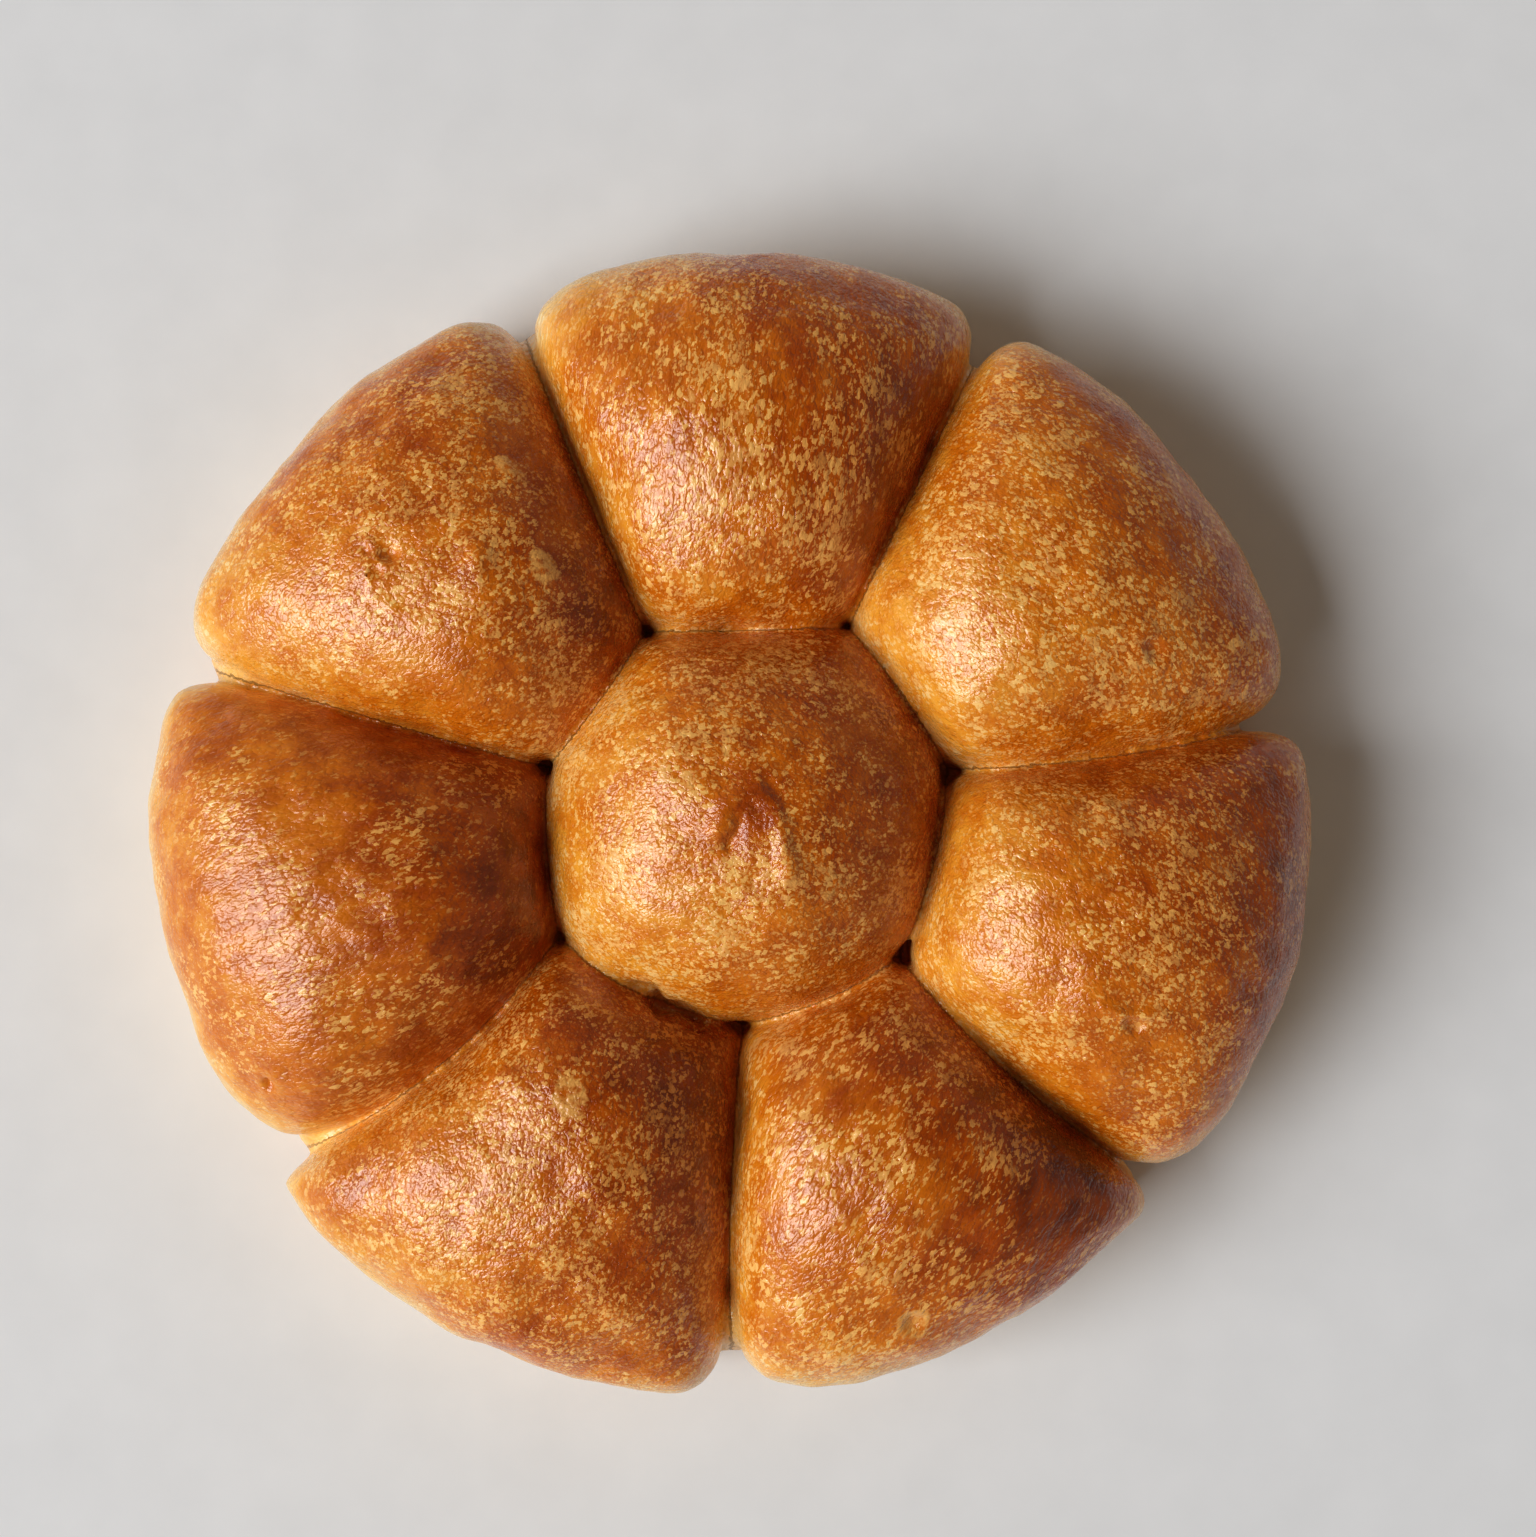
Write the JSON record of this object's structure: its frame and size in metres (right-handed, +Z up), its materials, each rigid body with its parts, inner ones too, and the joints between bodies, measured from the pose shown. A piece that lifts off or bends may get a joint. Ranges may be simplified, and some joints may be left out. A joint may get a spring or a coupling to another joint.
{
  "type": "flower brioche",
  "caption": "Round pull-apart brioche shaped like a flower, with buns proved around a middle one and baked into one domed, glossy, flat-based loaf.",
  "frame": {"origin": "middle of the loaf's flat base, at the centre of its box in plan", "axes": "+Z up out of the base, +Y to the top of the picture, +X to its right"},
  "size_m": [0.2412, 0.2378, 0.062],
  "materials": {
    "crust": "satin"
  },
  "bodies": {
    "root": {"brioche": "crust"}
  },
  "joints": []
}
